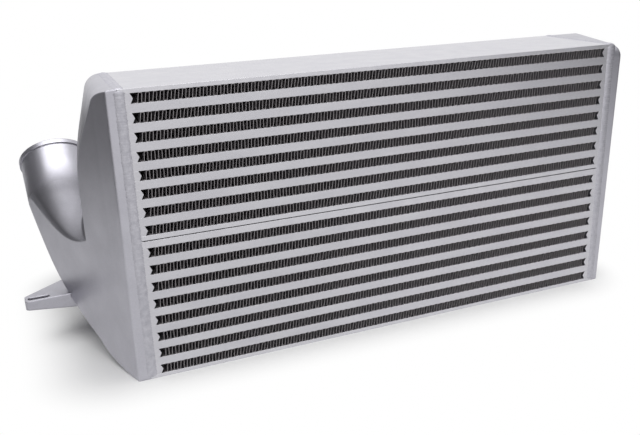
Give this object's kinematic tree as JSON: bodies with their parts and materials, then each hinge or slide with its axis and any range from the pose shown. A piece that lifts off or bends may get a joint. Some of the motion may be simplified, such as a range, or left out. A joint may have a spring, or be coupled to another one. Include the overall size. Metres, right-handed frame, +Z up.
{
  "type": "intercooler",
  "caption": "Stepped air-to-air intercooler: two bar-and-plate cores with corrugated fins, cast end tanks, upswept elbow outlets and slotted mounting ears.",
  "frame": {"origin": "centre of the core's flat underside", "axes": "+X along the core to the right tank, -Y to the front face that meets the cooling air, +Z up, across the rows of fins"},
  "size_m": [0.723, 0.2563, 0.2761],
  "materials": {
    "castings": "satin, bead blasted",
    "plates": "satin, as rolled",
    "bars": "satin, as extruded",
    "tubes": "satin, brazed",
    "fins": "dull, brazed sheet",
    "turbulators": "dull, brazed sheet",
    "weld_beads": "bright, as welded"
  },
  "bodies": {
    "root": {"left_ear": "castings", "left_pipe": "castings", "left_tank": "castings", "left_weld": "weld_beads", "lower_bars_left": "bars", "lower_bars_right": "bars", "lower_base_plate": "plates", "lower_fins_1": "fins", "lower_fins_2": "fins", "lower_fins_3": "fins", "lower_fins_4": "fins", "lower_fins_5": "fins", "lower_fins_6": "fins", "lower_fins_7": "fins", "lower_fins_8": "fins", "lower_top_plate": "plates", "lower_tube_1": "tubes", "lower_tube_2": "tubes", "lower_tube_3": "tubes", "lower_tube_4": "tubes", "lower_tube_5": "tubes", "lower_tube_6": "tubes", "lower_tube_7": "tubes", "lower_turbulators": "turbulators", "right_ear": "castings", "right_pipe": "castings", "right_tank": "castings", "right_weld": "weld_beads", "upper_bars_left": "bars", "upper_bars_right": "bars", "upper_base_plate": "plates", "upper_fins_1": "fins", "upper_fins_2": "fins", "upper_fins_3": "fins", "upper_fins_4": "fins", "upper_fins_5": "fins", "upper_fins_6": "fins", "upper_fins_7": "fins", "upper_fins_8": "fins", "upper_top_plate": "plates", "upper_tube_1": "tubes", "upper_tube_2": "tubes", "upper_tube_3": "tubes", "upper_tube_4": "tubes", "upper_tube_5": "tubes", "upper_tube_6": "tubes", "upper_tube_7": "tubes", "upper_turbulators": "turbulators"}
  },
  "joints": []
}
